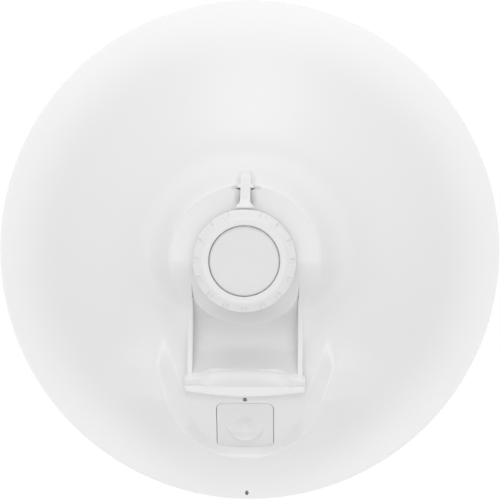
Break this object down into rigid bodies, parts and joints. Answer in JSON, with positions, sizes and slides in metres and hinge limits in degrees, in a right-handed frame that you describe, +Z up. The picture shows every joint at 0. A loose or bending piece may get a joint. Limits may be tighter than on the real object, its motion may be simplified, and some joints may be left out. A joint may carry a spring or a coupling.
{
  "type": "parabolic dish antenna",
  "caption": "Parabolic dish antenna with a bell-shaped rear housing, a mounting hub in a lock ring, a front feed and a clip-off port cover.",
  "frame": {"origin": "centre of the flat disc in the mouth of the lock ring, which faces the mast", "axes": "+Y along the boresight, out of the front of the dish; -Y towards the mast; +Z up; +X to the right as seen from behind"},
  "size_m": [0.26, 0.1575, 0.26],
  "materials": {
    "reflector_white": "smooth satin moulded plastic",
    "housing_white": "fine satin moulded plastic",
    "ring_white": "satin moulded plastic",
    "hub_white": "fine matt moulded plastic",
    "cover_white": "satin moulded plastic",
    "feed_white": "satin moulded plastic",
    "feed_grey": "matt moulded plastic",
    "bay_grey": "matt moulded plastic",
    "socket_steel": "tin-plated sheet",
    "socket_black": "matt moulded plastic",
    "contact_gold": "gold-plated wire",
    "light_dark": "dark light pipe, unlit"
  },
  "bodies": {
    "root": {"reflector": "reflector_white", "feed_collar": "feed_grey", "feed_tube": "feed_white", "feed_cone": "feed_white", "sub_reflector": "feed_white", "rear_housing": "housing_white", "bracket_head": "housing_white", "arm_side_left": "housing_white", "arm_side_right": "housing_white", "arm_web": "housing_white", "rest_lip": "housing_white", "lock_ring": "ring_white", "mounting_hub": "hub_white", "hub_disc": "hub_white", "port_bay": "bay_grey", "network_socket": "socket_steel", "socket_insert": "socket_black", "socket_contacts": "contact_gold", "reset_button": "socket_black", "status_light": "light_dark"},
    "tongue": {"lock_tongue": "ring_white"},
    "cover": {"port_cover": "cover_white"}
  },
  "joints": [
    {"name": "tongue_flex", "type": "hinge", "parent": "root", "child": "tongue", "pos_m": [0, 0.0027, 0.0254], "axis": [1, 0, 0], "range_deg": [0, 15], "stiffness_Nm_per_rad": 0.05},
    {"name": "cover_pull", "type": "slide", "parent": "root", "child": "cover", "axis": [0, -0.8526, -0.5226], "range_m": [0, 0.05]}
  ]
}
